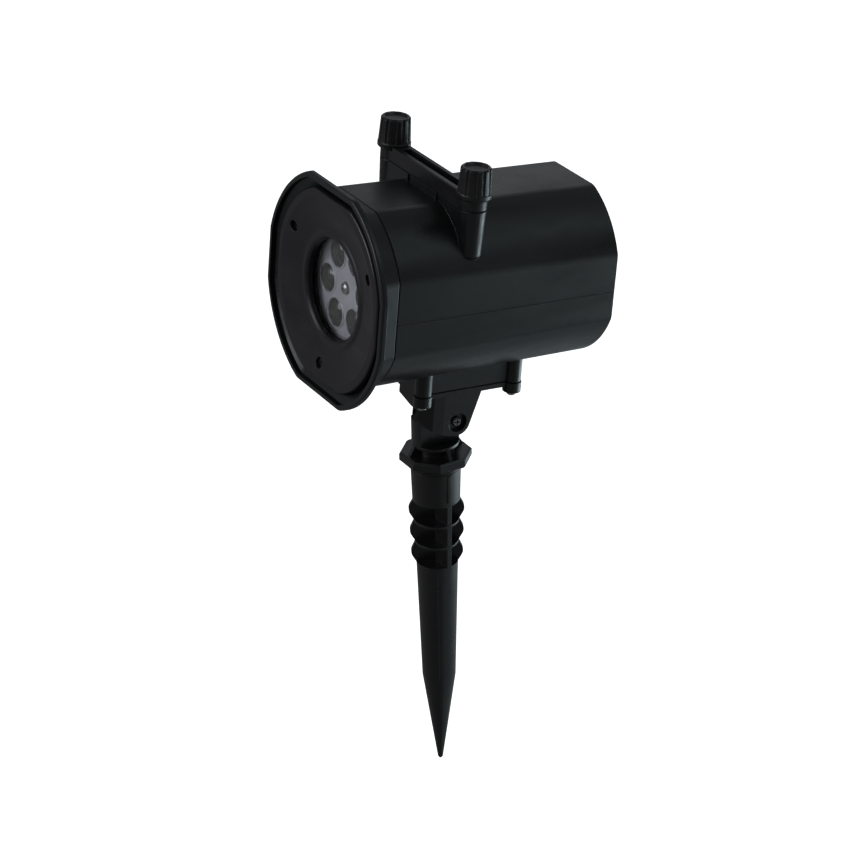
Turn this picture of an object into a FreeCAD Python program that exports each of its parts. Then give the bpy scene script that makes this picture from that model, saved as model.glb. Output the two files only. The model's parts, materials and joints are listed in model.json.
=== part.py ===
"""Garden light projector on a ground stake, as a parametric assembly in millimetres.

World frame: +Z up, origin on the stake's axis at soil level, where the ribbed neck meets the
round spike; -Y is the direction that the projector looks in. The head's sub-parts are drawn in
the head's own frame (origin on the barrel's axis in the plane of the window lip, +Y to the rear)
and share one placement, which tilts the head about the bracket's pivot.
"""
import FreeCAD, Part
import math
import os
import re
import Sketcher
from FreeCAD import Placement, Rotation, Vector

SIZES = {
    # ground stake, heights from soil level
    "stake_tube_top": 57.0, "stake_tube_foot": 38.3, "stake_tube_radius": 13.2,
    "stake_foot_radius": 12.6, "stake_bore_radius": 9.5, "stake_bore_floor": 40.5,
    "neck_pitch": 12.77, "neck_rib": 2.7, "neck_disc": 1.3, "lobe_radius": 14.0,
    "neck_radius": 12.0, "spike_radius": 11.05, "spike_shoulder": 70.0,
    "spike_shoulder_radius": 9.0, "spike_length": 124.6, "spike_tip_radius": 1.4,
    "neck_step": 0.45, "bead_angle": 28.0, "bar_angle": 32.0, "ridge_angle": -3.0,
    # swivel post
    "flange_top": 66.4, "flange_foot": 60.8, "flange_radius": 19.1, "ring_top": 72.5,
    "ring_radius": 12.5, "ring_height": 1.6, "waist_radius": 9.6, "post_rib": 1.8,
    "plug_radius": 9.4, "plug_foot": 42.0, "tongue_half": 5.0, "post_radius": 12.5,
    # tilt pivot: offset behind the stake's axis, height above soil, place in the head's frame
    "pivot_offset": 6.4, "pivot_height": 85.5, "pivot_y": 72.2, "pivot_z": -79.0,
    "head_pitch": 5.9, "bolt_radius": 2.0, "cheek_arc": 7.3, "tongue_arc": 10.3,
    "washer_radius": 6.0, "bolt_head_radius": 4.2,
    # barrel housing
    "seam_y": 10.3, "seam_bevel": 0.4, "rear_y": 137.7, "barrel_radius": 50.5, "barrel_half_x": 46.6,
    "barrel_half_z": 47.0, "rear_radius": 48.9, "rear_half_x": 45.9, "rear_half_z": 45.4,
    "barrel_wall": 2.4, "corner_soft": 7.0, "pad_half_x": 14.6, "pad_foot": -58.8,
    "pad_front": 48.7, "pad_rear": 102.2, "ear_radius": 4.4, "ear_x": 14.0,
    "left_ear_y": 56.0, "ear_depth": 5.9, "joint_gap": 0.4, "cheek_inner": 5.4,
    "cheek_outer": 12.4, "parting_z": -2.8, "bead_proud": 0.18,
    # slot turret, cover and knobs
    "slot_y": 53.1, "turret_top": 50.3, "turret_half_y": 5.3, "boss_x": 39.1,
    "boss_top_radius": 6.8, "boss_foot_radius": 5.9, "boss_foot": 27.0, "slot_half_x": 34.2,
    "slot_half_y": 1.9, "cover_foot": 51.1, "cover_land": 56.0, "cover_top": 58.3,
    "cover_half_x": 28.4, "groove_half_y": 2.5, "groove_depth": 3.2, "knob_foot": 56.3,
    "knob_top": 72.2, "knob_radius": 8.6, "knob_top_radius": 7.7, "stud_radius": 2.0,
    "stud_foot": 40.5, "stud_hole_radius": 2.3, "insert_radius": 2.9, "insert_foot": 38.5,
    # hood, front plate and window
    "rim_y": -5.4, "rim_radius": 59.8, "rim_half_x": 58.2, "rim_half_z": 55.7,
    "rim_band": 3.0, "rim_wall": 2.8, "flare_foot": 1.6, "hood_floor": 4.2,
    "hood_floor_rear": 6.8, "hood_hole_radius": 36.8, "hood_skirt": 4.6, "spigot_end": 16.9,
    "fit_gap": 0.25, "plate_y": -3.9, "plate_rear": -1.2, "plate_radius": 51.8,
    "plate_half_x": 50.6, "plate_half_z": 48.6, "dish_radius": 47.5,
    "dish_foot_radius": 32.0, "dish_floor": -0.5, "lip_radius": 25.8, "lip_outer_radius": 30.6,
    "window_tube_radius": 29.8, "collar_radius": 32.4, "collar_end": 8.2,
    "window_seat": 2.4, "seal_thick": 1.0, "glass_radius": 29.5, "glass_thick": 2.0,
    "retainer_thick": 2.0, "plate_screw_ring": 42.9, "low_screw_ring": 41.0,
    "front_boss_radius": 3.6, "plate_boss_radius": 3.4, "well_radius": 2.9, "screw_well": 1.0,
    # rotating lens disc and its motor
    "disc_y": 8.8, "disc_thick": 2.6, "disc_radius": 29.4, "lens_ring": 18.1,
    "lens_radius": 7.4, "lens_rise": 2.1, "hub_radius": 5.0, "hub_end": 13.6,
    "shaft_radius": 2.0, "shaft_end": 27.0, "bridge_y": 17.0, "bridge_thick": 3.0,
    "bridge_radius": 35.5, "bridge_inner_radius": 28.4, "bridge_centre_radius": 11.6,
    "motor_radius": 7.5, "motor_end": 41.0, "motor_screw_ring": 9.7,
    # pattern slide and its guide
    "slide_half_x": 33.0, "slide_foot": -33.0, "slide_shoulder": 34.0, "slide_top": 49.4,
    "slide_thick": 2.4, "film_radius": 6.8, "guide_half_x": 43.3, "guide_thick": 6.0,
    "guide_window": 26.5,
    # optics, lamp board, heat sink and driver
    "condenser_y": 60.0, "condenser_thick": 3.0, "optics_radius": 38.5, "pillar_ring": 35.2,
    "lamp_board_y": 73.0, "board_thick": 1.6, "sink_y": 74.6, "sink_base": 4.0,
    "sink_end": 98.0, "fin_pitch": 7.5, "fin_thick": 1.8, "driver_y": 108.0,
    "driver_half_x": 29.0, "driver_half_z": 23.0, "driver_post_x": 25.0,
    "driver_post_z": 19.0, "transformer_end": 124.0, "capacitor_end": 121.0,
    # rear cap and cable gland
    "cap_y": 132.2, "cap_thick": 3.5, "cap_screw_xz": 30.6, "gasket_thick": 0.8,
    "ledge_width": 4.0, "gland_z": -24.0, "gland_thread_radius": 6.0,
    "gland_flange_radius": 8.8, "gland_end": 150.5, "cable_radius": 3.1,
}

DOC = FreeCAD.newDocument("light_projector_stake")
SHEET = DOC.addObject("Spreadsheet::Sheet", "dims")
for row, (alias, number) in enumerate(SIZES.items(), start=1):
    SHEET.set("A%d" % row, alias)
    SHEET.set("B%d" % row, str(number))
    SHEET.setAlias("B%d" % row, alias)
DOC.recompute()

NODES = []


# ---------------------------------------------------------------- parametric building blocks

def bound(text):
    """A formula in size names, rewritten to point at the sheet's cells."""
    def cell(match):
        word = match.group()
        return "dims." + word if word in SIZES else word
    return re.sub(r"[a-z_][a-z_0-9]*", cell, str(text))


def size(text):
    """The number that a formula in size names gives."""
    return float(SHEET.evalExpression(bound(text)))


def bind(obj, prop, text):
    """Give a property its number and tie it to the sheet."""
    obj.setExpression(prop, bound(text))


def new_body(label, placement=None):
    body = DOC.addObject("PartDesign::Body", label)
    body.Label = label
    if placement is not None:
        body.Placement = placement
    NODES.append(body)
    return body


def sketch_on(body, role, offset="0"):
    """A sketch parallel to one of the body's own planes, offset along the plane's normal."""
    sketch = body.newObject("Sketcher::SketchObject", body.Name + "_sketch")
    plane = next(item for item in body.Origin.OriginFeatures if item.Role == role)
    sketch.AttachmentSupport = [(plane, "")]
    sketch.MapMode = "FlatFace"
    sketch.AttachmentOffset = Placement(Vector(0, 0, size(offset)), Rotation())
    bind(sketch, "AttachmentOffset.Base.z", offset)
    return sketch


def level(body, height):
    """A sketch on the horizontal plane at a height: x to +X, y to +Y."""
    return sketch_on(body, "XY_Plane", height)


def station(body, depth):
    """A sketch across the barrel at a depth: x to +X, y to +Z, normal to -Y."""
    return sketch_on(body, "XZ_Plane", "-(%s)" % depth)


def side(body, across="0"):
    """A sketch on a side plane: x to +Y, y to +Z, normal to +X."""
    return sketch_on(body, "YZ_Plane", across)


def pin_point(sketch, geometry, corner, x, y):
    """Hold a point at two formulas, or on an axis where a formula gives zero."""
    for kind, text, axis in (("DistanceX", x, -2), ("DistanceY", y, -1)):
        number = size(text)
        if abs(number) < 1e-9:
            sketch.addConstraint(Sketcher.Constraint("PointOnObject", geometry, corner, axis))
        else:
            index = sketch.addConstraint(Sketcher.Constraint(kind, geometry, corner, number))
            bind(sketch, "Constraints[%d]" % index, text)


def arc_between(start, end, radius, bulge):
    """An arc from start to end that bulges to the right (+1) or the left (-1) of the way."""
    chord = end - start
    half = chord.Length / 2.0
    height = math.sqrt(max(radius * radius - half * half, 0.0))
    left = Vector(-chord.y, chord.x, 0).normalize()
    centre = (start + end) * 0.5 + left * (height * bulge)
    circle = Part.Circle(centre, Vector(0, 0, 1), radius)
    first, last = (start, end) if bulge > 0 else (end, start)
    return Part.ArcOfCircle(circle, circle.parameter(first), circle.parameter(last))


def outline(sketch, points, arcs=None):
    """A closed outline of lines, with arcs {index of the start point: (radius, bulge)}."""
    arcs = arcs or {}
    places = [Vector(size(x), size(y), 0) for x, y in points]
    ends = []
    for i, start in enumerate(places):
        end = places[(i + 1) % len(places)]
        if i in arcs:
            radius, bulge = arcs[i]
            index = sketch.addGeometry(arc_between(start, end, size(radius), bulge), False)
            ends.append((index, 1, 2) if bulge > 0 else (index, 2, 1))
        else:
            index = sketch.addGeometry(Part.LineSegment(start, end), False)
            ends.append((index, 1, 2))
    for i, (index, _, last) in enumerate(ends):
        after, first, _ = ends[(i + 1) % len(ends)]
        sketch.addConstraint(Sketcher.Constraint("Coincident", index, last, after, first))
    for i, (x, y) in enumerate(points):
        pin_point(sketch, ends[i][0], ends[i][1], x, y)
    for i, (radius, _) in arcs.items():
        rule = Sketcher.Constraint("Radius", ends[i][0], size(radius))
        bind(sketch, "Constraints[%d]" % sketch.addConstraint(rule), radius)


def circle(sketch, radius, x="0", y="0"):
    ring = Part.Circle(Vector(size(x), size(y), 0), Vector(0, 0, 1), size(radius))
    index = sketch.addGeometry(ring, False)
    rule = Sketcher.Constraint("Radius", index, size(radius))
    bind(sketch, "Constraints[%d]" % sketch.addConstraint(rule), radius)
    pin_point(sketch, index, 3, x, y)


def circles(sketch, radius, places):
    for x, y in places:
        circle(sketch, radius, x, y)


def box(sketch, x_low, x_high, y_low, y_high):
    outline(sketch, [(x_low, y_low), (x_high, y_low), (x_high, y_high), (x_low, y_high)])


def spoke(sketch, angle, inner, outer, half):
    """A rectangle that runs outwards from the axis at an angle in degrees."""
    points = []
    for along, across in ((inner, "-" + half), (outer, "-" + half), (outer, half), (inner, half)):
        points.append(("(%s) * cos(%g) - (%s) * sin(%g)" % (along, angle, across, angle),
                       "(%s) * sin(%g) + (%s) * cos(%g)" % (along, angle, across, angle)))
    outline(sketch, points)


def on_ring(radius, angle):
    """The two formulas of a point at a radius and an angle in degrees."""
    return "(%s) * cos(%g)" % (radius, angle), "(%s) * sin(%g)" % (radius, angle)


def flatted(sketch, radius, half_x, half_z):
    """A circle with four flats and soft corners: the section of barrel, hood and front plate."""
    soft = "corner_soft"
    centre_ring = "(%s - %s)" % (radius, soft)
    ratio = "(%s) / %s" % (radius, centre_ring)
    side_z = "sqrt(%s^2 - (%s - %s)^2)" % (centre_ring, half_x, soft)
    flat_x = "sqrt(%s^2 - (%s - %s)^2)" % (centre_ring, half_z, soft)
    quarter = [
        (half_x, side_z),
        ("(%s - %s) * %s" % (half_x, soft, ratio), "%s * %s" % (side_z, ratio)),
        ("%s * %s" % (flat_x, ratio), "(%s - %s) * %s" % (half_z, soft, ratio)),
        (flat_x, half_z)]
    points = []
    arcs = {}
    for sign_x, sign_z in ((1, 1), (-1, 1), (-1, -1), (1, -1)):
        start = len(points)
        corner = [("%d * (%s)" % (sign_x, x), "%d * (%s)" % (sign_z, z)) for x, z in quarter]
        points += corner if sign_x * sign_z > 0 else corner[::-1]
        arcs.update({start: (soft, 1), start + 1: (radius, 1), start + 2: (soft, 1)})
    outline(sketch, points, arcs)


def feature(body, kind, sketch):
    item = body.newObject("PartDesign::" + kind, body.Name + "_" + kind.lower())
    item.Profile = sketch
    return item


def settle(body, growth, before):
    """Recompute and make sure that the last feature added (+1) or removed (-1) material."""
    DOC.recompute()
    change = body.Shape.Volume - before
    if change * growth <= 1e-6:
        raise RuntimeError("%s: %s changed nothing" % (body.Label, body.Tip.Name))


def volume_of(body):
    return body.Shape.Volume if body.Shape and not body.Shape.isNull() else 0.0


def pad(body, sketch, length, reverse=False):
    before = volume_of(body)
    item = feature(body, "Pad", sketch)
    bind(item, "Length", length)
    item.Reversed = reverse
    settle(body, 1, before)
    return item


def pocket(body, sketch, length, reverse=False):
    before = volume_of(body)
    item = feature(body, "Pocket", sketch)
    bind(item, "Length", length)
    item.Reversed = reverse
    settle(body, -1, before)
    return item


def revolve(body, sketch, axis="V_Axis"):
    before = volume_of(body)
    item = feature(body, "Revolution", sketch)
    item.ReferenceAxis = (sketch, [axis])
    item.Angle = 360
    settle(body, 1, before)
    return item


def groove(body, sketch, axis="V_Axis"):
    before = volume_of(body)
    item = feature(body, "Groove", sketch)
    item.ReferenceAxis = (sketch, [axis])
    item.Angle = 360
    settle(body, -1, before)
    return item


def loft(body, sketches, cut=False, ruled=True):
    before = volume_of(body)
    item = feature(body, "SubtractiveLoft" if cut else "AdditiveLoft", sketches[0])
    item.Sections = sketches[1:]
    item.Ruled = ruled
    settle(body, -1 if cut else 1, before)
    return item


def polar(body, originals, sketch, count, axis="N_Axis"):
    before = volume_of(body)
    item = body.newObject("PartDesign::PolarPattern", body.Name + "_polar")
    item.Originals = originals
    item.Axis = (sketch, [axis])
    item.Angle = 360
    item.Occurrences = count
    body.Tip = item
    DOC.recompute()
    if abs(body.Shape.Volume - before) < 1e-6:
        raise RuntimeError("%s: the pattern changed nothing" % body.Label)
    return item


def soften(body, radius, chosen, kind="Fillet"):
    """Fillet or chamfer the edges for which chosen(edge) is true."""
    base = body.Tip
    edges = ["Edge%d" % (i + 1) for i, edge in enumerate(base.Shape.Edges) if chosen(edge)]
    item = body.newObject("PartDesign::" + kind, body.Name + "_" + kind.lower())
    item.Base = (base, edges)
    bind(item, "Radius" if kind == "Fillet" else "Size", radius)
    DOC.recompute()
    if item.Shape.isNull() or not item.isValid():
        raise RuntimeError("%s: %s of %d edges failed" % (body.Label, kind, len(edges)))
    return item


def group(label, body, places):
    """One node of separate copies of a body, each at a placement in the head's frame."""
    NODES.remove(body)
    body.Label = label + "_pattern"
    copies = [body.Shape.transformed(place.toMatrix()) for place in places]
    node = DOC.addObject("Part::Feature", label)
    node.Label = label
    node.Shape = Part.makeCompound(copies)
    node.Placement = HEAD
    NODES.append(node)
    return node


def at(x=0.0, y=0.0, z=0.0, turn=None):
    return Placement(Vector(x, y, z), turn or Rotation())


tilt = Rotation(Vector(1, 0, 0), -size("head_pitch"))
pivot_in_world = Vector(0, size("pivot_offset"), size("pivot_height"))
pivot_in_head = Vector(0, size("pivot_y"), size("pivot_z"))
HEAD = Placement(pivot_in_world - tilt.multVec(pivot_in_head), tilt)


# ---------------------------------------------------------------- ground stake

def ground_stake():
    body = new_body("ground_stake", Placement(Vector(), Rotation(Vector(0, 0, 1), -27)))
    spike = side(body)
    outline(spike, [
        ("0", "0"), ("spike_radius", "0"), ("spike_shoulder_radius", "-spike_shoulder"),
        ("spike_tip_radius", "-spike_length + 1"), ("spike_tip_radius / 2", "-spike_length"),
        ("0", "-spike_length")])
    revolve(body, spike)
    for angle in (size("ridge_angle"), size("ridge_angle") + 180):
        ridge = []
        for height, radius in (("-2", "spike_radius"),
                               ("-spike_shoulder", "spike_shoulder_radius")):
            section = level(body, height)
            spoke(section, angle, radius + " - 1", radius + " + 0.2", "0.3")
            ridge.append(section)
        loft(body, ridge)
    plate = side(body, "-neck_rib / 2")
    scalloped_plate(plate)
    pad(body, plate, "neck_rib")
    bar = []
    for height, radius in (("0", "neck_radius - 0.9"), ("stake_tube_foot", "neck_radius")):
        section = level(body, height)
        spoke(section, size("bar_angle"), "-(%s)" % radius, radius, "neck_rib / 2")
        bar.append(section)
    loft(body, bar)
    for step in range(3):
        disc = level(body, "neck_pitch * %d - neck_disc / 2" % step)
        circle(disc, "neck_radius - neck_step * %d" % (2 - step))
        pad(body, disc, "neck_disc")
    tube = side(body)
    outline(tube, [
        ("0", "stake_tube_foot - 0.5"), ("stake_foot_radius", "stake_tube_foot - 0.5"),
        ("stake_tube_radius", "stake_tube_top"), ("stake_bore_radius", "stake_tube_top"),
        ("stake_bore_radius", "stake_bore_floor"), ("0", "stake_bore_floor")])
    revolve(body, tube)
    bead = level(body, "stake_tube_foot + 2")
    spoke(bead, size("bead_angle"), "stake_foot_radius - 1", "stake_tube_radius + 0.35", "0.9")
    pad(body, bead, "stake_tube_top - stake_tube_foot - 3")
    return body


def scalloped_plate(sketch):
    """The rib's outline: three bulges each side, a neck between each two."""
    right = []
    for step in range(3):
        trim = "neck_step * %d" % (2 - step)
        low = "neck_pitch * %d" % step
        right.append(("neck_radius - %s - 0.2" % trim, low))
        right.append(("lobe_radius - %s" % trim, low + " + neck_pitch * 0.3"))
        right.append(("lobe_radius - %s" % trim, low + " + neck_pitch * 0.7"))
    right.append(("neck_radius", "neck_pitch * 3"))
    left = [("-(%s)" % x, z) for x, z in reversed(right)]
    arcs = {}
    for i in range(1, len(right) - 1, 3):
        arcs[i] = ("neck_pitch * 0.42", 1)
    count = len(right)
    for i in range(count + 1, 2 * count - 1, 3):
        arcs[i] = ("neck_pitch * 0.42", 1)
    outline(sketch, right + left, arcs)


# ---------------------------------------------------------------- swivel post

def swivel_post():
    body = new_body("swivel_post")
    turned = side(body)
    outline(turned, [
        ("0", "plug_foot"), ("plug_radius - 0.8", "plug_foot"),
        ("plug_radius", "plug_foot + 1"), ("plug_radius", "stake_tube_top + 0.3"),
        ("stake_tube_radius", "stake_tube_top + 0.3"),
        ("stake_tube_radius", "flange_foot - 2.6"),
        ("flange_radius * 0.86", "flange_foot"), ("flange_radius * 0.86", "flange_top - 1.0"),
        ("waist_radius", "flange_top - 1.0"),
        ("waist_radius", "ring_top - ring_height"),
        ("ring_radius", "ring_top - ring_height"), ("ring_radius", "ring_top"),
        ("0", "ring_top")])
    revolve(body, turned)
    flange = level(body, "flange_foot")
    corners = ["flange_radius * cos(%g)" % (22.5 + 45 * i) for i in range(8)]
    rises = ["flange_radius * sin(%g)" % (22.5 + 45 * i) for i in range(8)]
    outline(flange, list(zip(corners, rises)))
    pad(body, flange, "flange_top - flange_foot")
    soften(body, "1.1", lambda edge: is_octagon_rim(edge, body), "Chamfer")
    for across, turn in ((side, 0), (station, 1)):
        rib = across(body, "-post_rib / 2")
        outline(rib, [
            ("-flange_radius * 0.88", "flange_top - 1.2"), ("flange_radius * 0.88", "flange_top - 1.2"),
            ("ring_radius + 0.2", "ring_top - 0.6"), ("-ring_radius - 0.2", "ring_top - 0.6")])
        pad(body, rib, "post_rib", reverse=bool(turn))
    tongue_blank = level(body, "ring_top - 0.5")
    circle(tongue_blank, "post_radius")
    pad(body, tongue_blank, "26")
    trim = side(body, "-post_radius - 1")
    outline(trim, [
        ("-post_radius - 2", "ring_top + 12.5"), ("pivot_offset - 8.2", "pivot_height + tongue_arc * 0.72"),
        ("pivot_offset", "pivot_height + tongue_arc"),
        ("pivot_offset + tongue_arc", "pivot_height"), ("post_radius + 6", "pivot_height - 6"),
        ("post_radius + 6", "pivot_height + 30"), ("-post_radius - 2", "pivot_height + 30")],
        {2: ("tongue_arc", -1)})
    pocket(body, trim, "post_radius * 2 + 2", reverse=True)
    for edges in (("tongue_half", "post_radius + 1"), ("-post_radius - 1", "-tongue_half")):
        cheek_room = level(body, "ring_top")
        box(cheek_room, edges[0], edges[1], "-post_radius - 1", "post_radius + 1")
        pocket(body, cheek_room, "30", reverse=True)
    eye = side(body, "-post_radius")
    circle(eye, "bolt_radius + 0.06", "pivot_offset", "pivot_height")
    pocket(body, eye, "post_radius * 2", reverse=True)
    return body


def is_octagon_rim(edge, body):
    """Straight edges round the top and foot of the octagonal flange."""
    if edge.Curve.TypeId != "Part::GeomLine":
        return False
    middle = edge.CenterOfMass
    flat = size("flange_radius") * math.cos(math.radians(22.5))
    return abs(math.hypot(middle.x, middle.y) - flat) < 0.05 and edge.Length > 6


# ---------------------------------------------------------------- barrel housing

def in_corners(half_x, half_z):
    """The formulas of four points, one in each quarter."""
    return [("%d * %s" % (x, half_x), "%d * %s" % (z, half_z)) for x, z in CORNERS]


CORNERS = ((1, 1), (-1, 1), (-1, -1), (1, -1))
PLATE_SCREW_ANGLES = (28, 151, 263.5)
LENS_ANGLES = [3 + 60 * i for i in range(6)]
PILLAR_ANGLES = (90, 210, 330)
MOTOR_SCREW_ANGLES = (0, 180)
PLATE_SCREW_RINGS = ("plate_screw_ring", "plate_screw_ring", "low_screw_ring")
PLATE_SCREWS = [on_ring(*place) for place in zip(PLATE_SCREW_RINGS, PLATE_SCREW_ANGLES)]
LENSES = [on_ring("lens_ring", angle) for angle in LENS_ANGLES]
PILLARS = [on_ring("pillar_ring", angle) for angle in PILLAR_ANGLES]
MOTOR_SCREWS = [on_ring("motor_screw_ring", angle) for angle in MOTOR_SCREW_ANGLES]
CAP_SCREWS = in_corners("cap_screw_xz", "cap_screw_xz")
DRIVER_POSTS = in_corners("driver_post_x", "driver_post_z")
EARS = [("ear_x", "pad_front"), ("-ear_x", "left_ear_y"), ("ear_x", "pad_rear"),
        ("-ear_x", "pad_rear")]
KNOB_AXES = [("boss_x", "slot_y"), ("-boss_x", "slot_y")]


def lies_at(depth):
    """A test for the edges that lie wholly in the plane at a depth."""
    place = size(depth)

    def test(edge):
        return all(abs(vertex.Point.y - place) < 1e-4 for vertex in edge.Vertexes)
    return test


def outer_edges_at(depth, radius):
    """A test for edges in the plane at a depth that lie outside a radius."""
    in_plane = lies_at(depth)
    limit = size(radius)

    def test(edge):
        return in_plane(edge) and all(
            math.hypot(vertex.Point.x, vertex.Point.z) > limit for vertex in edge.Vertexes)
    return test


def inset_section(sketch, name, inset):
    """The section called barrel or rear, moved inwards by a distance."""
    flatted(sketch, "%s_radius - (%s)" % (name, inset), "%s_half_x - (%s)" % (name, inset),
            "%s_half_z - (%s)" % (name, inset))


def barrel_housing():
    body = new_body("barrel_housing", HEAD)
    shell = []
    for depth, name, inset in (("seam_y", "barrel", "seam_bevel"),
                               ("seam_y + seam_bevel", "barrel", "0"),
                               ("rear_y", "rear", "0")):
        section = station(body, depth)
        inset_section(section, name, inset)
        shell.append(section)
    loft(body, shell)
    add_bracket_pad(body)
    add_turret(body)
    add_parting_beads(body)
    hollow = []
    for depth, name in (("seam_y", "barrel"), ("rear_y", "rear")):
        section = station(body, depth)
        inset_section(section, name, "barrel_wall")
        hollow.append(section)
    loft(body, hollow, cut=True)
    add_rear_ledge(body)
    add_front_bosses(body)
    rails = level(body, "-15")
    for front in ("slot_y - guide_thick / 2 - 1.2", "slot_y + guide_thick / 2"):
        for low, high in (("guide_half_x - 3", "barrel_half_x - 1.4"),
                          ("-barrel_half_x + 1.4", "-guide_half_x + 3")):
            box(rails, low, high, front, front + " + 1.2")
    pad(body, rails, "30")
    slot = level(body, "20")
    box(slot, "-slot_half_x", "slot_half_x", "slot_y - slot_half_y", "slot_y + slot_half_y")
    pocket(body, slot, "40", reverse=True)
    bores = level(body, "turret_top")
    for sign in (1, -1):
        circle(bores, "insert_radius", "%d * boss_x" % sign, "slot_y")
    pocket(body, bores, "turret_top - insert_foot")
    return body


def add_bracket_pad(body):
    """The pad under the barrel, with a screw boss at each end of both sides."""
    block = level(body, "pad_foot")
    box(block, "-pad_half_x", "pad_half_x", "pad_front - 1", "pad_rear + 1")
    pad(body, block, "14")
    ears = level(body, "pad_foot")
    circles(ears, "ear_radius", EARS)
    pad(body, ears, "14")
    pilots = level(body, "pad_foot")
    circles(pilots, "1.45", EARS)
    pocket(body, pilots, "10.5", reverse=True)


def add_turret(body):
    """The raised seat of the slide slot, with a round boss at each end."""
    block = level(body, "28")
    box(block, "-boss_x", "boss_x", "slot_y - turret_half_y", "slot_y + turret_half_y")
    pad(body, block, "turret_top - 28")
    for sign in (1, -1):
        boss = []
        for height, radius in (("boss_foot - 2.5", "boss_foot_radius - 1.9"),
                               ("boss_foot", "boss_foot_radius"),
                               ("turret_top", "boss_top_radius")):
            section = level(body, height)
            circle(section, radius, "%d * boss_x" % sign, "slot_y")
            boss.append(section)
        loft(body, boss)
    ribs = level(body, "44")
    for low, high in (("13.4", "14.6"), ("-14.6", "-13.4")):
        box(ribs, low, high, "slot_y - turret_half_y - 1", "slot_y + turret_half_y + 1")
    pad(body, ribs, "turret_top - 44")


def add_parting_beads(body):
    """The thin raised line along both flat sides, where the mould's halves met."""
    for sign in (1, -1):
        bead = []
        for depth, flat in (("seam_y + 0.5", "barrel_half_x"), ("rear_y - 0.5", "rear_half_x")):
            section = station(body, depth)
            edges = ["%d * (%s - 1)" % (sign, flat), "%d * (%s + bead_proud)" % (sign, flat)]
            box(section, *edges[::sign], "parting_z - 0.3", "parting_z + 0.3")
            bead.append(section)
        loft(body, bead)


def add_rear_ledge(body):
    """The ledge that the rear cap sits on, and the four columns behind the heat sink's ears."""
    seat = station(body, "cap_y - gasket_thick")
    inset_section(seat, "rear", "barrel_wall - 0.5")
    inset_section(seat, "rear", "barrel_wall + ledge_width")
    pad(body, seat, "2.5")
    length = "cap_y - gasket_thick - sink_y - sink_base"
    columns = station(body, "cap_y - gasket_thick")
    circles(columns, "3.5", CAP_SCREWS)
    pad(body, columns, length)
    webs = station(body, "cap_y - gasket_thick")
    for i in range(4):
        spoke(webs, 45 + 90 * i, "cap_screw_xz * sqrt(2)", "48", "1.2")
    pad(body, webs, length)
    rear_pilots = station(body, "cap_y - gasket_thick")
    circles(rear_pilots, "1.25", CAP_SCREWS)
    pocket(body, rear_pilots, "12", reverse=True)
    front_pilots = station(body, "sink_y + sink_base")
    circles(front_pilots, "1.25", CAP_SCREWS)
    pocket(body, front_pilots, "10")


def add_front_bosses(body):
    """The three bosses that take the long screws of the front plate."""
    bosses = station(body, "bridge_y + bridge_thick")
    circles(bosses, "3.8", PLATE_SCREWS)
    pad(body, bosses, "14", reverse=True)
    webs = station(body, "bridge_y + bridge_thick")
    for angle in PLATE_SCREW_ANGLES[:2]:
        spoke(webs, angle, "plate_screw_ring", "49", "1.2")
    pad(body, webs, "14", reverse=True)
    pilots = station(body, "bridge_y + bridge_thick")
    circles(pilots, "1.45", PLATE_SCREWS)
    pocket(body, pilots, "12.5")


# ---------------------------------------------------------------- hood and front plate

def rim_section(body, depth, inset):
    section = station(body, depth)
    flatted(section, "rim_radius - (%s)" % inset, "rim_half_x - (%s)" % inset,
            "rim_half_z - (%s)" % inset)
    return section


def front_hood():
    body = new_body("front_hood", HEAD)
    root = []
    for depth, inset in (("flare_foot", "-1.3"), ("seam_y - seam_bevel", "0"),
                         ("seam_y", "seam_bevel")):
        section = station(body, depth)
        inset_section(section, "barrel", inset)
        root.append(section)
    flare = [rim_section(body, "rim_y", "0"), rim_section(body, "rim_y + rim_band", "0")]
    loft(body, flare + root)
    soften(body, "1.3", lies_at("rim_y"))
    spigot = station(body, "seam_y")
    inset_section(spigot, "barrel", "barrel_wall + fit_gap")
    pad(body, spigot, "spigot_end - seam_y", reverse=True)
    throat = [rim_section(body, "rim_y", "rim_wall"),
              rim_section(body, "rim_y + rim_band", "rim_wall")]
    middle = rim_section(body, "-0.6", "rim_wall + 3.4")
    floor = station(body, "flare_foot + 0.2")
    inset_section(floor, "barrel", "barrel_wall")
    deep = station(body, "hood_floor")
    inset_section(deep, "barrel", "barrel_wall + 0.4")
    loft(body, throat + [middle, floor, deep], cut=True)
    skirt = station(body, "hood_floor_rear")
    inset_section(skirt, "barrel", "hood_skirt")
    pocket(body, skirt, "spigot_end - hood_floor_rear + 1")
    hole = station(body, "hood_floor - 1")
    circle(hole, "hood_hole_radius")
    pocket(body, hole, "hood_floor_rear - hood_floor + 2")
    bosses = station(body, "hood_floor + 0.5")
    circles(bosses, "front_boss_radius", PLATE_SCREWS)
    pad(body, bosses, "bridge_y - hood_floor - 0.5", reverse=True)
    bores = station(body, "hood_floor - 0.5")
    circles(bores, "1.6", PLATE_SCREWS)
    pocket(body, bores, "bridge_y - hood_floor + 1")
    return body


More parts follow.
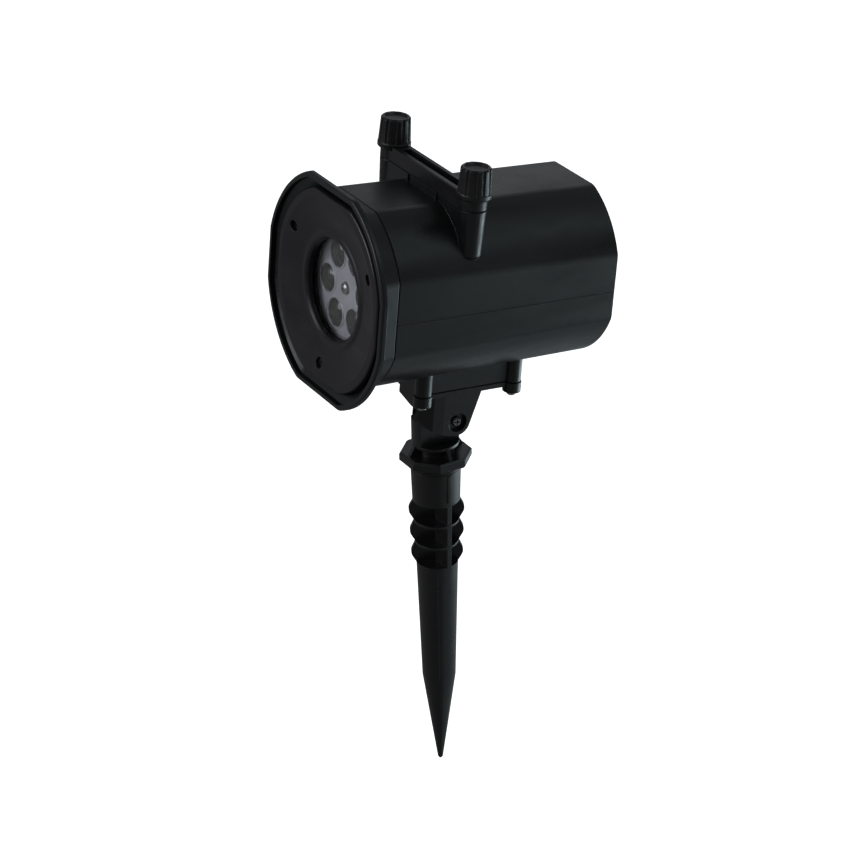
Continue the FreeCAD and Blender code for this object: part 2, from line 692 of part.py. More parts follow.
def front_plate():
    body = new_body("front_plate", HEAD)
    blank = station(body, "plate_rear")
    flatted(blank, "plate_radius", "plate_half_x", "plate_half_z")
    pad(body, blank, "plate_rear - plate_y")
    soften(body, "1.2", lies_at("plate_y"))
    opening = station(body, "plate_y - 1")
    circle(opening, "dish_radius")
    pocket(body, opening, "plate_rear - plate_y + 2")
    dish = side(body)
    outline(dish, [
        ("plate_y", "dish_radius + 0.8"), ("plate_y", "dish_radius"),
        ("dish_floor", "dish_foot_radius"), ("dish_floor + 0.15", "lip_outer_radius"),
        ("-0.9", "lip_radius + 3.4"), ("-1.0", "lip_radius + 2.2"),
        ("-0.8", "lip_radius + 1"), ("0.2", "lip_radius"),
        ("window_seat", "lip_radius"), ("window_seat", "window_tube_radius"),
        ("collar_end", "window_tube_radius"), ("collar_end", "collar_radius"),
        ("window_seat + 0.6", "collar_radius"), ("window_seat + 0.6", "dish_foot_radius + 0.9"),
        ("plate_rear", "dish_radius + 0.8")])
    revolve(body, dish, "H_Axis")
    bosses = station(body, "hood_floor")
    circles(bosses, "plate_boss_radius", PLATE_SCREWS)
    pad(body, bosses, "hood_floor + 1.6")
    wells = station(body, "plate_y - 1")
    circles(wells, "well_radius", PLATE_SCREWS)
    pocket(body, wells, "screw_well - plate_y + 1")
    bores = station(body, "plate_y - 1")
    circles(bores, "1.6", PLATE_SCREWS)
    pocket(body, bores, "hood_floor - plate_y + 2")
    return body


def window_parts():
    seat = "window_seat"
    glass = "window_seat + seal_thick"
    turned_ring("window_seal", seat, "seal_thick", "lip_radius + 0.8", "window_tube_radius - 0.1")
    turned_ring("window_glass", glass, "glass_thick", "0", "glass_radius")
    turned_ring("window_retainer", glass + " + glass_thick", "retainer_thick",
                "lip_radius + 1", "window_tube_radius")


def turned_ring(label, front, thick, inner, outer):
    """A disc, or a ring where the inner radius isn't zero, about the barrel's axis."""
    body = new_body(label, HEAD)
    face = station(body, front)
    circle(face, outer)
    if size(inner) > 0:
        circle(face, inner)
    pad(body, face, thick, reverse=True)
    soften(body, "0.25", lambda edge: True, "Chamfer")
    return body


# ---------------------------------------------------------------- lens disc, motor and bridge

def lens_disc():
    body = new_body("lens_disc", HEAD)
    turned = side(body)
    outline(turned, [
        ("disc_y", "shaft_radius"), ("disc_y", "disc_radius - 0.9"),
        ("disc_y - 0.4", "disc_radius - 0.9"), ("disc_y - 0.4", "disc_radius"),
        ("disc_y + disc_thick", "disc_radius"), ("disc_y + disc_thick", "hub_radius"),
        ("hub_end", "hub_radius"), ("hub_end", "shaft_radius")])
    revolve(body, turned, "H_Axis")
    bezels = station(body, "disc_y + 0.3")
    circles(bezels, "lens_radius + 0.9", LENSES)
    pad(body, bezels, "0.8")
    bores = station(body, "disc_y - 1")
    circles(bores, "lens_radius - 0.9", LENSES)
    pocket(body, bores, "disc_thick + 2")
    seats = station(body, "disc_y - 1")
    circles(seats, "lens_radius", LENSES)
    pocket(body, seats, "2.6")
    return body


def projection_lenses():
    body = new_body("projection_lens")
    lens = side(body)
    dome = "(6.9^2 + lens_rise^2) / (2 * lens_rise)"
    outline(lens, [
        ("0", "-lens_rise"), ("6.9", "0"), ("lens_radius - 0.05", "0"),
        ("lens_radius - 0.05", "1.6"), ("6.2", "1.6"), ("0", "2.5")],
        {0: (dome, 1), 4: ("(6.2^2 + 0.9^2) / (2 * 0.9)", 1)})
    revolve(body, lens)
    return group("projection_lenses", body, along_barrel("disc_y", LENSES))


def along_barrel(depth, points, rearward=True):
    """Placements at points across the barrel that turn +Z towards the rear or the front."""
    turn = Rotation(Vector(1, 0, 0), -90 if rearward else 90)
    return [at(size(x), size(depth), size(z), turn) for x, z in points]


def lens_disc_screw():
    body = new_body("lens_disc_screw", HEAD)
    turned = side(body)
    outline(turned, [
        ("disc_y - 2.1", "0"), ("disc_y - 1.9", "1.6"), ("disc_y - 1.2", "3.0"),
        ("disc_y", "3.5"), ("disc_y", "0.9"), ("disc_y + 4", "0.9"), ("disc_y + 4", "0")])
    revolve(body, turned, "H_Axis")
    for half_x, half_z in ((1.8, 0.35), (0.35, 1.8)):
        cross = station(body, "disc_y - 2.5")
        box(cross, "-%g" % half_x, "%g" % half_x, "-%g" % half_z, "%g" % half_z)
        pocket(body, cross, "1.3")
    return body


def motor_shaft():
    body = new_body("motor_shaft", HEAD)
    turned = side(body)
    outline(turned, [
        ("disc_y", "0.95"), ("disc_y", "shaft_radius"), ("shaft_end", "shaft_radius"),
        ("shaft_end", "0"), ("disc_y + 4.5", "0"), ("disc_y + 4.5", "0.95")])
    revolve(body, turned, "H_Axis")
    return body


def motor_bridge():
    body = new_body("motor_bridge", HEAD)
    ring = station(body, "bridge_y")
    circle(ring, "bridge_radius")
    circle(ring, "bridge_inner_radius")
    pad(body, ring, "bridge_thick", reverse=True)
    for ring_radius, angle in zip(PLATE_SCREW_RINGS, PLATE_SCREW_ANGLES):
        arm = station(body, "bridge_y")
        spoke(arm, angle, "3", ring_radius, "2.4")
        pad(body, arm, "bridge_thick", reverse=True)
    centre = station(body, "bridge_y")
    circle(centre, "bridge_centre_radius")
    circles(centre, "front_boss_radius", PLATE_SCREWS)
    pad(body, centre, "bridge_thick", reverse=True)
    bores = station(body, "bridge_y - 1")
    circle(bores, "4.5")
    circles(bores, "1.6", PLATE_SCREWS)
    circles(bores, "1.1", MOTOR_SCREWS)
    pocket(body, bores, "bridge_thick + 2")
    return body


def lens_motor():
    body = new_body("lens_motor", HEAD)
    rear = "bridge_y + bridge_thick"
    turned = side(body)
    outline(turned, [
        ("bridge_y + 0.2", "0"), ("bridge_y + 0.2", "4.4"), (rear, "4.4"),
        (rear, "motor_radius"), ("motor_end - 1", "motor_radius"),
        ("motor_end", "motor_radius - 1"), ("motor_end", "0")])
    revolve(body, turned, "H_Axis")
    arms = station(body, rear)
    for angle in MOTOR_SCREW_ANGLES:
        spoke(arms, angle, "4", "motor_screw_ring", "1.9")
    pad(body, arms, "1.2", reverse=True)
    ears = station(body, rear)
    circles(ears, "1.9", MOTOR_SCREWS)
    pad(body, ears, "1.2", reverse=True)
    bores = station(body, rear + " - 1")
    circles(bores, "1.15", MOTOR_SCREWS)
    pocket(body, bores, "3")
    shaft_bore = station(body, "bridge_y - 1")
    circle(shaft_bore, "shaft_radius + 0.08")
    pocket(body, shaft_bore, "shaft_end - bridge_y + 1.5")
    return body


# ---------------------------------------------------------------- screws

def screw(label, head_radius, head_height, shank_radius, length):
    """A cross-recess screw: head from -Z up to zero, shank from zero along +Z."""
    body = new_body(label)
    turned = side(body)
    outline(turned, [
        ("0", "-(%s)" % head_height), ("(%s) * 0.72" % head_radius, "-(%s)" % head_height),
        (head_radius, "-(%s) * 0.6" % head_height), (head_radius, "0"), (shank_radius, "0"),
        (shank_radius, "%s - 1" % length), ("(%s) * 0.4" % shank_radius, length), ("0", length)])
    revolve(body, turned)
    reach = "%s * 0.5" % head_radius
    slim = "%s * 0.11" % head_radius
    for x, y in ((reach, slim), (slim, reach)):
        cross = level(body, "-(%s) - 0.5" % head_height)
        box(cross, "-" + x, x, "-" + y, y)
        pocket(body, cross, "(%s) * 0.5 + 0.5" % head_height, reverse=True)
    return body


def screws():
    group("front_plate_screws", screw("front_plate_screw", "2.6", "2.2", "1.4", "30"),
          along_barrel("screw_well", PLATE_SCREWS))
    group("motor_screws", screw("motor_screw", "1.7", "1.2", "1.05", "3.6"),
          along_barrel("bridge_y + bridge_thick + 1.2", MOTOR_SCREWS, rearward=False))
    group("optics_screws", screw("optics_screw", "2.4", "1.8", "1.2", "18"),
          along_barrel("condenser_y", PILLARS))
    group("heat_sink_screws", screw("heat_sink_screw", "2.4", "1.8", "1.2", "13"),
          along_barrel("sink_y", CAP_SCREWS))
    group("rear_cap_screws", screw("rear_cap_screw", "2.5", "1.7", "1.2", "12"),
          along_barrel("cap_y + cap_thick - 1.8", CAP_SCREWS, rearward=False))
    group("driver_screws", screw("driver_screw", "2.1", "1.5", "1.05", "8"),
          along_barrel("driver_y", DRIVER_POSTS))
    group("bracket_screws", screw("bracket_screw", "2.7", "2.2", "1.4", "15"),
          [at(size(x), size(y), size("pad_foot - ear_depth")) for x, y in EARS])


# ---------------------------------------------------------------- pattern slide and its guide

def slide_guide():
    body = new_body("slide_guide", HEAD)
    blank = station(body, "slot_y - guide_thick / 2")
    flatted(blank, "barrel_radius - barrel_wall - 1.2", "guide_half_x", "guide_half_x")
    pad(body, blank, "guide_thick", reverse=True)
    window = station(body, "slot_y - guide_thick")
    box(window, "-guide_window", "guide_window", "-guide_window", "guide_window")
    pocket(body, window, "guide_thick * 2")
    channel = level(body, "slide_foot - 0.4")
    box(channel, "-slide_half_x - 0.4", "slide_half_x + 0.4", "slot_y - slide_thick / 2 - 0.4",
        "slot_y + slide_thick / 2 + 0.4")
    pocket(body, channel, "100", reverse=True)
    return body


def slide_frame():
    body = new_body("slide_frame", HEAD)
    card = station(body, "slot_y - slide_thick / 2")
    outline(card, [
        ("-slide_half_x", "slide_foot"), ("slide_half_x", "slide_foot"),
        ("slide_half_x", "slide_shoulder"), ("slide_half_x - 8", "slide_top - 5"),
        ("slide_half_x - 8", "slide_top"), ("-slide_half_x + 8", "slide_top"),
        ("-slide_half_x + 8", "slide_top - 5"), ("-slide_half_x", "slide_shoulder")])
    pad(body, card, "slide_thick", reverse=True)
    grip = station(body, "slot_y - slide_thick / 2 - 1")
    box(grip, "-7", "7", "slide_top - 6", "slide_top - 3")
    pocket(body, grip, "slide_thick + 2")
    bores = station(body, "slot_y - slide_thick")
    circles(bores, "film_radius - 0.9", LENSES)
    pocket(body, bores, "slide_thick * 2")
    seats = station(body, "slot_y - slide_thick")
    circles(seats, "film_radius + 0.05", LENSES)
    pocket(body, seats, "slide_thick")
    return body


def pattern_films():
    body = new_body("pattern_films")
    face = level(body, "-0.4")
    circle(face, "film_radius")
    pad(body, face, "0.4")
    return group("pattern_films", body, along_barrel("slot_y", LENSES))


def slot_cover():
    body = new_body("slot_cover", HEAD)
    strap = level(body, "cover_foot")
    box(strap, "-boss_x", "boss_x", "slot_y - turret_half_y", "slot_y + turret_half_y")
    pad(body, strap, "cover_land - cover_foot")
    lands = level(body, "cover_foot")
    circles(lands, "boss_top_radius", KNOB_AXES)
    pad(body, lands, "cover_land - cover_foot")
    bar = level(body, "cover_land")
    box(bar, "-boss_x", "boss_x", "slot_y - turret_half_y", "slot_y + turret_half_y")
    pad(body, bar, "cover_top - cover_land")
    knob_room = level(body, "cover_top")
    circles(knob_room, "knob_radius + 0.4", KNOB_AXES)
    pocket(body, knob_room, "cover_top - cover_land")
    trough = level(body, "cover_top")
    box(trough, "-cover_half_x + 1.6", "cover_half_x - 1.6", "slot_y - groove_half_y",
        "slot_y + groove_half_y")
    pocket(body, trough, "groove_depth")
    soften(body, "0.7", is_cover_long_edge)
    bores = level(body, "cover_land + 5")
    circles(bores, "stud_hole_radius", KNOB_AXES)
    pocket(body, bores, "20")
    return body


def is_cover_long_edge(edge):
    """The two long outer edges along the top of the cover's bar."""
    middle = edge.CenterOfMass
    on_top = all(abs(vertex.Point.z - size("cover_top")) < 1e-4 for vertex in edge.Vertexes)
    outside = abs(middle.y - size("slot_y")) > size("turret_half_y") - 1e-3
    return on_top and outside and abs(middle.x) < 1e-3


def slot_gasket():
    body = new_body("slot_gasket", HEAD)
    strap = level(body, "turret_top")
    box(strap, "-boss_x", "boss_x", "slot_y - turret_half_y + 0.8",
        "slot_y + turret_half_y - 0.8")
    pad(body, strap, "cover_foot - turret_top")
    ends = level(body, "turret_top")
    circles(ends, "boss_top_radius - 0.8", KNOB_AXES)
    pad(body, ends, "cover_foot - turret_top")
    bores = level(body, "turret_top + 3")
    circles(bores, "stud_hole_radius + 0.1", KNOB_AXES)
    pocket(body, bores, "20")
    opening = level(body, "turret_top - 1")
    box(opening, "-slot_half_x - 0.4", "slot_half_x + 0.4", "slot_y - slot_half_y - 0.4",
        "slot_y + slot_half_y + 0.4")
    pocket(body, opening, "5", reverse=True)
    return body


def knob(label, sign):
    body = new_body(label, HEAD.multiply(at(sign * size("boss_x"), size("slot_y"))))
    turned = side(body)
    outline(turned, [
        ("stud_radius", "knob_foot"), ("knob_radius - 0.5", "knob_foot"),
        ("knob_radius", "knob_foot + 0.6"), ("knob_radius", "knob_foot + 2.6"),
        ("knob_radius - 0.25", "knob_foot + 3"), ("knob_top_radius", "knob_top - 0.8"),
        ("knob_top_radius - 0.7", "knob_top"), ("knob_top_radius - 1.7", "knob_top"),
        ("knob_top_radius - 2.6", "knob_top - 1.1"), ("0", "knob_top - 1.4"),
        ("0", "knob_top - 6"), ("stud_radius", "knob_top - 6")])
    revolve(body, turned)
    flute_foot = level(body, "knob_foot + 3")
    circle(flute_foot, "1.15", "knob_radius + 0.45", "0")
    flute_top = level(body, "knob_top + 0.5")
    circle(flute_top, "1.25", "knob_top_radius + 0.3", "0")
    flute = loft(body, [flute_foot, flute_top], cut=True)
    polar(body, [flute], flute_foot, 12)
    return body


def knob_stud(label, sign):
    body = new_body(label, HEAD.multiply(at(sign * size("boss_x"), size("slot_y"))))
    turned = side(body)
    outline(turned, [
        ("0", "stud_foot"), ("stud_radius - 0.6", "stud_foot"),
        ("stud_radius", "stud_foot + 0.6"), ("stud_radius", "knob_top - 6"),
        ("0", "knob_top - 6")])
    revolve(body, turned)
    return body


def knob_inserts():
    body = new_body("knob_insert")
    face = level(body, "insert_foot")
    circle(face, "insert_radius")
    circle(face, "stud_radius + 0.08")
    pad(body, face, "turret_top - insert_foot")
    return group("knob_inserts", body, [at(size(x), size(y)) for x, y in KNOB_AXES])


# ---------------------------------------------------------------- optics, lamps and heat sink

def condenser_holder():
    body = new_body("condenser_holder", HEAD)
    blank = station(body, "condenser_y")
    circle(blank, "optics_radius")
    pad(body, blank, "condenser_thick", reverse=True)
    pillars = station(body, "lamp_board_y")
    circles(pillars, "2.5", PILLARS)
    pad(body, pillars, "lamp_board_y - condenser_y - 1")
    bores = station(body, "condenser_y - 1")
    circles(bores, "lens_radius", LENSES)
    circles(bores, "1.3", PILLARS)
    pocket(body, bores, "lamp_board_y - condenser_y + 2")
    return body


def condenser_lenses():
    body = new_body("condenser_lens")
    lens = side(body)
    rise = "(7.0^2 + 1.5^2) / (2 * 1.5)"
    outline(lens, [
        ("0", "-1.5"), ("7", "0"), ("lens_radius", "0"), ("lens_radius", "condenser_thick"),
        ("7", "condenser_thick"), ("0", "condenser_thick + 1.5")], {0: (rise, 1), 4: (rise, 1)})
    revolve(body, lens)
    return group("condenser_lenses", body, along_barrel("condenser_y", LENSES))


def led_board():
    body = new_body("led_board", HEAD)
    blank = station(body, "lamp_board_y")
    circle(blank, "optics_radius")
    pad(body, blank, "board_thick", reverse=True)
    bores = station(body, "lamp_board_y - 1")
    circles(bores, "1.4", PILLARS)
    pocket(body, bores, "board_thick + 2")
    return body


def leds():
    body = new_body("led")
    base = level(body, "-1")
    box(base, "-2.6", "2.6", "-2.6", "2.6")
    pad(body, base, "1")
    dome = side(body)
    outline(dome, [("0", "-1"), ("0", "-2.9"), ("2", "-1.2"), ("2", "-1")], {1: ("2.02", 1)})
    revolve(body, dome)
    return group("leds", body, along_barrel("lamp_board_y", LENSES))


def heat_sink():
    body = new_body("heat_sink", HEAD)
    blank = station(body, "sink_y")
    circle(blank, "optics_radius")
    pad(body, blank, "sink_base", reverse=True)
    arms = station(body, "sink_y")
    for i in range(4):
        spoke(arms, 45 + 90 * i, "optics_radius - 4", "cap_screw_xz * sqrt(2)", "3.4")
    pad(body, arms, "sink_base", reverse=True)
    ears = station(body, "sink_y")
    circles(ears, "3.4", CAP_SCREWS)
    pad(body, ears, "sink_base", reverse=True)
    fins = station(body, "sink_y + sink_base")
    for step in range(-4, 5):
        middle = "fin_pitch * %d" % step
        reach = "sqrt((optics_radius - 2)^2 - (%s)^2)" % middle
        box(fins, middle + " - fin_thick / 2", middle + " + fin_thick / 2", "-" + reach, reach)
    pad(body, fins, "sink_end - sink_y - sink_base", reverse=True)
    bores = station(body, "sink_y - 1")
    circles(bores, "1.3", CAP_SCREWS)
    circles(bores, "1.25", PILLARS)
    pocket(body, bores, "sink_base + 1")
    return body


def driver_parts():
    board = new_body("driver_board", HEAD)
    blank = station(board, "driver_y")
    box(blank, "-driver_half_x", "driver_half_x", "-driver_half_z", "driver_half_z")
    pad(board, blank, "board_thick", reverse=True)
    bores = station(board, "driver_y - 1")
    circles(bores, "1.2", DRIVER_POSTS)
    pocket(board, bores, "board_thick + 2")
    rear = "driver_y + board_thick"
    core = new_body("driver_transformer", HEAD)
    base = station(core, rear)
    box(base, "-19", "1", "1", "19")
    pad(core, base, "transformer_end - driver_y - board_thick", reverse=True)
    coil = station(core, rear + " + 3")
    box(coil, "-16", "-2", "-2", "22")
    pad(core, coil, "transformer_end - driver_y - board_thick - 6", reverse=True)
    can = new_body("driver_capacitor")
    turned = side(can)
    outline(turned, [
        ("0", "0"), ("3.6", "0"), ("3.6", "0.9"), ("3.3", "1.2"), ("3.3", "1.7"), ("3.6", "2"),
        ("3.6", "capacitor_end - driver_y - board_thick - 0.5"),
        ("3.1", "capacitor_end - driver_y - board_thick"),
        ("0", "capacitor_end - driver_y - board_thick")])
    revolve(can, turned)
    turn = Rotation(Vector(1, 0, 0), -90)
    group("driver_capacitors", can,
          [at(10.0 + 4.6 * (i % 2), size(rear), 14.0 - 8.6 * i, turn) for i in range(3)])


# ---------------------------------------------------------------- rear cap and cable gland

def rear_cap():
    body = new_body("rear_cap", HEAD)
    rear = "cap_y + cap_thick"
    blank = station(body, "cap_y")
    inset_section(blank, "rear", "barrel_wall + fit_gap")
    pad(body, blank, "cap_thick", reverse=True)
    soften(body, "0.8", lies_at(rear))
    posts = station(body, "cap_y + 1")
    circles(posts, "2.8", DRIVER_POSTS)
    pad(body, posts, "cap_y - driver_y - board_thick + 1")
    pilots = station(body, "driver_y + board_thick")
    circles(pilots, "1.1", DRIVER_POSTS)
    pocket(body, pilots, "8")
    wells = station(body, rear)
    circles(wells, "2.7", CAP_SCREWS)
    pocket(body, wells, "1.8", reverse=True)
    bores = station(body, "cap_y - 1")
    circles(bores, "1.4", CAP_SCREWS)
    circle(bores, "gland_thread_radius + 0.05", "0", "gland_z")
    pocket(body, bores, "cap_thick + 2")
    return body


def rear_cap_seal():
    body = new_body("rear_cap_seal", HEAD)
    ring = station(body, "cap_y - gasket_thick")
    inset_section(ring, "rear", "barrel_wall + 0.4")
    inset_section(ring, "rear", "barrel_wall + ledge_width")
    pad(body, ring, "gasket_thick", reverse=True)
    bores = station(body, "cap_y - 3")
    circles(bores, "1.4", CAP_SCREWS)
    pocket(body, bores, "5")
    return body


def gland_parts():
    """A screwed cable gland: its body through the cap, locknut, rubber seal and dome nut."""
    outside = size("cap_y + cap_thick")
    turn = Rotation(Vector(1, 0, 0), -90)
    frame = HEAD.multiply(at(0, outside, size("gland_z"), turn))
    reach = "gland_end - cap_y - cap_thick"
    core = new_body("gland_body", frame)
    turned = side(core)
    outline(turned, [
        ("4.4", "-9"), ("gland_thread_radius", "-9"), ("gland_thread_radius", "0"),
        ("gland_flange_radius", "0"), ("gland_flange_radius", "3.2"),
        ("6.6", "3.4"), ("6.6", "8"), ("5.2", "8"), ("5.2", "4.4"), ("4.4", "4.4")])
    revolve(core, turned)
    trim_to_hexagon(core, "8.0", "-0.1", "3.3")
    seal = new_body("gland_seal", frame)
    turned = side(seal)
    outline(turned, [
        ("cable_radius", "4.4"), ("5.15", "4.4"), ("5.15", "8"), ("5.15", "10"),
        ("4.4", "12.4"), ("cable_radius", "12.4")])
    revolve(seal, turned)
    nut = new_body("gland_nut", frame)
    turned = side(nut)
    outline(turned, [
        ("6.65", "3.6"), ("8.4", "3.6"), ("8.4", "10"), ("6.8", reach + " - 0.8"),
        ("6.0", reach), ("4.5", reach), ("4.5", "12.5"), ("5.3", "10.2"), ("6.65", "9")])
    revolve(nut, turned)
    trim_to_hexagon(nut, "7.8", "3.5", "9.8")
    lock = new_body("gland_locknut", frame)
    face = level(lock, "-cap_thick - 3")
    circle(face, "8.6")
    circle(face, "gland_thread_radius")
    pad(lock, face, "3")
    trim_to_hexagon(lock, "7.7", "-cap_thick - 3.1", "-cap_thick + 0.1")


def trim_to_hexagon(body, half_width, low, high):
    """Six spanner flats between two heights."""
    flat = level(body, low)
    box(flat, half_width, half_width + " + 4", "-9", "9")
    cut = pocket(body, flat, "(%s) - (%s)" % (high, low), reverse=True)
    polar(body, [cut], flat, 6)


# ---------------------------------------------------------------- tilting bracket

def mount_bracket():
    body = new_body("mount_bracket", HEAD)
    neck = level(body, "pad_foot - joint_gap")
    box(neck, "-pad_half_x + 0.8", "pad_half_x - 0.8", "pad_front + 0.8", "pad_rear - 0.8")
    pad(body, neck, "joint_gap")
    plate = level(body, "pad_foot - 3")
    box(plate, "-pad_half_x - 0.3", "pad_half_x + 0.3", "pad_front - 0.3", "pad_rear + 0.3")
    pad(body, plate, "3 - joint_gap")
    ears = level(body, "pad_foot - ear_depth")
    circles(ears, "ear_radius + 0.4", EARS)
    pad(body, ears, "ear_depth - joint_gap")
    for low, front, corner in (("cheek_inner", "50.2", "-75.9"),
                               ("-cheek_outer", "55.2", "-79.9")):
        cheek = side(body, low)
        outline(cheek, [
            (front, "pad_foot - 1"), (front, corner), ("70.3", "-86.05"),
            ("79.1", "-81.45"), ("86.0", "pad_foot - 1")],
            {1: ("28", 1), 2: ("cheek_arc", 1)})
        pad(body, cheek, "cheek_outer - cheek_inner")
    trim_cheek_fronts(body)
    wall = station(body, "50.8")
    outline(wall, [
        ("6", "pad_foot - 1"), ("-12.6", "pad_foot - 1"), ("-12.6", "-68.4"), ("-0.6", "-71"),
        ("6", "-71")])
    pad(body, wall, "1.8", reverse=True)
    shelf = level(body, "-67")
    box(shelf, "-cheek_outer + 1.7", "-cheek_inner", "51.6", "56.4")
    pad(body, shelf, "67 + pad_foot - 1")
    finish_bracket(body)
    return body


def trim_cheek_fronts(body):
    """Round the front of the two cheeks in plan, as seen from below."""
    for sign, front in ((1, 50.3), (-1, 55.3)):
        corner = level(body, "-95")
        points = [("%d * %s" % (sign, across), "%g" % (front + depth)) for across, depth in (
            ("4.9", -1.3), ("13.4", -1.3), ("13.4", 13.2), ("cheek_outer", 13.2),
            ("11.6", 7.3), ("9.6", 3.3), ("7.2", 1.1), ("4.9", 0))]
        outline(corner, points if sign > 0 else points[::-1])
        pocket(body, corner, "95 + pad_foot - 3.2", reverse=True)


def finish_bracket(body):
    """Bolt bore, head and nut recesses, and the clearance holes of the four screws."""
    bore = side(body, "-20")
    circle(bore, "bolt_radius + 0.05", "pivot_y", "pivot_z")
    pocket(body, bore, "40", reverse=True)
    for across in ("9.8", "-13"):
        recess = side(body, across)
        circle(recess, "5.2", "pivot_y", "pivot_z")
        pocket(body, recess, "3.2", reverse=True)
    holes = level(body, "pad_foot - 8")
    circles(holes, "1.6", EARS)
    pocket(body, holes, "10", reverse=True)


def pivot_parts():
    across = Rotation(Vector(0, 1, 0), -90)
    frame = HEAD.multiply(at(0, size("pivot_y"), size("pivot_z"), across))
    bolt = new_body("pivot_bolt", frame)
    turned = side(bolt)
    outline(turned, [
        ("0", "-11.9"), ("2.0", "-11.9"), ("2.6", "-11.2"), ("2.6", "-9.8"),
        ("bolt_radius", "-9.8"), ("bolt_radius", "12"), ("0", "12")])
    revolve(bolt, turned)
    for x, y in (("1.6", "0.35"), ("0.35", "1.6")):
        cross = level(bolt, "-12.5")
        box(cross, "-" + x, x, "-" + y, y)
        pocket(bolt, cross, "1.6", reverse=True)
    nut = new_body("pivot_nut", frame)
    face = level(nut, "9.8")
    circle(face, "4.3")
    circle(face, "bolt_radius")
    pad(nut, face, "2.4")
    trim_to_hexagon(nut, "3.75", "9.7", "12.3")
    ring = new_body("pivot_washer")
    face = level(ring, "-0.2")
    circle(face, "washer_radius")
    circle(face, "bolt_radius + 0.1")
    pad(ring, face, "0.4")
    group("pivot_washers", ring,
          [at(sign * 5.2, size("pivot_y"), size("pivot_z"), across) for sign in (1, -1)])


# ---------------------------------------------------------------- assembly

def build():
    ground_stake()
    swivel_post()
    barrel_housing()
    front_hood()
    front_plate()
    window_parts()
    lens_disc()
    projection_lenses()
    lens_disc_screw()
    motor_shaft()
    motor_bridge()
    lens_motor()
    screws()
    slide_guide()
    slide_frame()
    pattern_films()
    slot_cover()
    slot_gasket()
    for sign, hand in ((-1, "left"), (1, "right")):
        knob("knob_" + hand, sign)
        knob_stud("knob_stud_" + hand, sign)
    knob_inserts()
    condenser_holder()
    condenser_lenses()
    led_board()
    leds()
    heat_sink()
    driver_parts()
    rear_cap()
    rear_cap_seal()
    gland_parts()
    mount_bracket()
    pivot_parts()


def hand_over():
    """Check every object and write one STEP file per node."""
    DOC.recompute()
    for item in DOC.Objects:
        if "Invalid" in item.State or "Error" in item.State:
            raise RuntimeError("%s is %s" % (item.Label, item.State))
    os.makedirs("parts", exist_ok=True)
    for node in NODES:
        shape = node.Shape
        if shape.isNull() or not shape.isValid() or shape.Volume < 1e-3:
            raise RuntimeError("%s has no valid solid" % node.Label)
        shape.exportStep(os.path.join("parts", node.Label + ".step"))
        print("%-22s solids %2d  volume %10.1f" % (node.Label, len(shape.Solids), shape.Volume))


build()
hand_over()
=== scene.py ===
"""Looks, floor, light and camera for the garden light projector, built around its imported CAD."""
import json

import bpy
from mathutils import Matrix, Vector

MM = 0.001

# The floor lies just under the spike's tip (mm; the floor's half width is in metres).
SPIKE_TIP = -124.6
FLOOR_GAP = 0.4
FLOOR_HALF_WIDTH = 9.0

# A long lens from the front right and above: eye in mm, lens and sensor in mm, far clip in metres.
CAMERA_EYE = (1203.2, -694.8, 803.8)
CAMERA_RIGHT = (0.5063, 0.8622, -0.0147)
CAMERA_UP = (-0.3940, 0.2464, 0.8856)
LENS_LENGTH = 125.7
SENSOR_WIDTH = 36.0
FAR_CLIP = 40.0

# What the lights aim at, in metres, and their tints.
MIDDLE = (0.0, 0.0, 0.12)
HEAD = (0.0, 0.0, 0.16)
PALE_BLUE = (0.92, 0.93, 1.0)
BLUISH = (0.90, 0.93, 1.0)
COOL = (0.78, 0.95, 1.0)
VIOLET = (0.90, 0.88, 1.0)
ROOM_COLOUR = (0.96, 0.98, 1.0, 1.0)
ROOM_STRENGTH = 0.13

# name, place and aim in metres, width and height in metres, watts, tint
SOFTBOXES = (
    ("key", (-0.35, -1.6, 0.95), MIDDLE, 1.0, 1.0, 12.0, PALE_BLUE),
    ("back", (-1.35, 0.95, 0.95), MIDDLE, 2.0, 1.4, 2.3, BLUISH),
    ("high right", (0.83, 0.8, 1.5), MIDDLE, 1.0, 1.0, 1.8, COOL),
    ("right card", (0.15, 0.40, -0.11), HEAD, 1.3, 1.0, 0.85, COOL),
    ("rear card", (0.12, 0.62, -0.10), HEAD, 0.6, 0.3, 2.6, COOL),
    ("left card", (-0.50, -0.35, -0.11), HEAD, 1.4, 1.0, 0.13, VIOLET),
)

# The three blacks of the mouldings, each a dark and a light tone that their colour wanders between
# at random.
NEUTRAL_BLACK = {"dark": (0.0048, 0.0049, 0.0053), "light": (0.0082, 0.0082, 0.0088)}
GREEN_BLACK = {"dark": (0.0052, 0.0064, 0.0067), "light": (0.0088, 0.0104, 0.0108)}
PURPLE_BLACK = {"dark": (0.0066, 0.0058, 0.0080), "light": (0.0106, 0.0094, 0.0126)}
WORN_COLOUR = (0.055, 0.056, 0.058)
EDGE_WEAR = 0.35
SMUDGE_DEPTH = 0.1
SCRATCH_DEPTH = 0.06

# Sockets of the colour mix node, which have the same names for every kind of data.
MIX_FACTOR, MIX_FIRST, MIX_SECOND, MIX_RESULT = 0, 6, 7, 2


# ---------------------------------------------------------------- node trees

